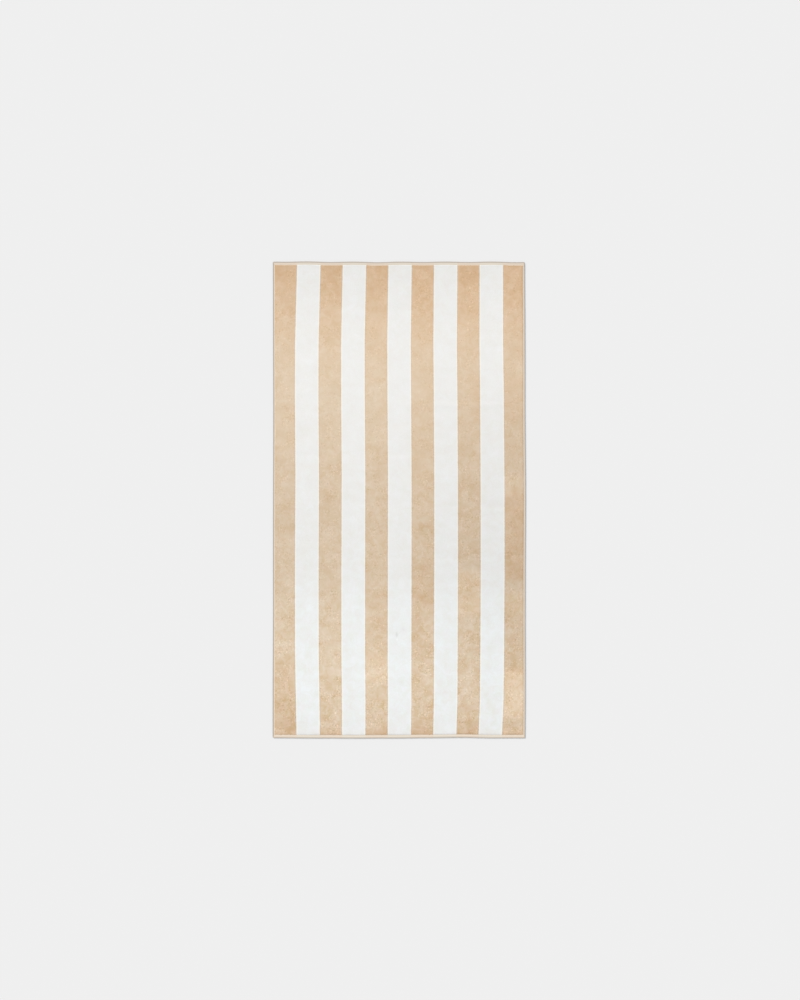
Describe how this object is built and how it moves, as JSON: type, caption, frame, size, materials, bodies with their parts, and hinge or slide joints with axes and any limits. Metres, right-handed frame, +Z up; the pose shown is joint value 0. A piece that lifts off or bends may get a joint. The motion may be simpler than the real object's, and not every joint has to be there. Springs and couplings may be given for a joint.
{
  "type": "beach towel",
  "caption": "Rectangular striped velour beach towel lying flat, with flat-woven hems across both ends and narrow side hems.",
  "frame": {"origin": "on the surface that the towel lies on, under the middle of the towel", "axes": "+X across the towel to its right edge, +Y along its length to its top end, +Z up out of its pile face"},
  "size_m": [0.9042, 1.7035, 0.0038],
  "materials": {
    "cotton_velour": "napped"
  },
  "bodies": {
    "root": {"towel_cloth": "cotton_velour"}
  },
  "joints": []
}
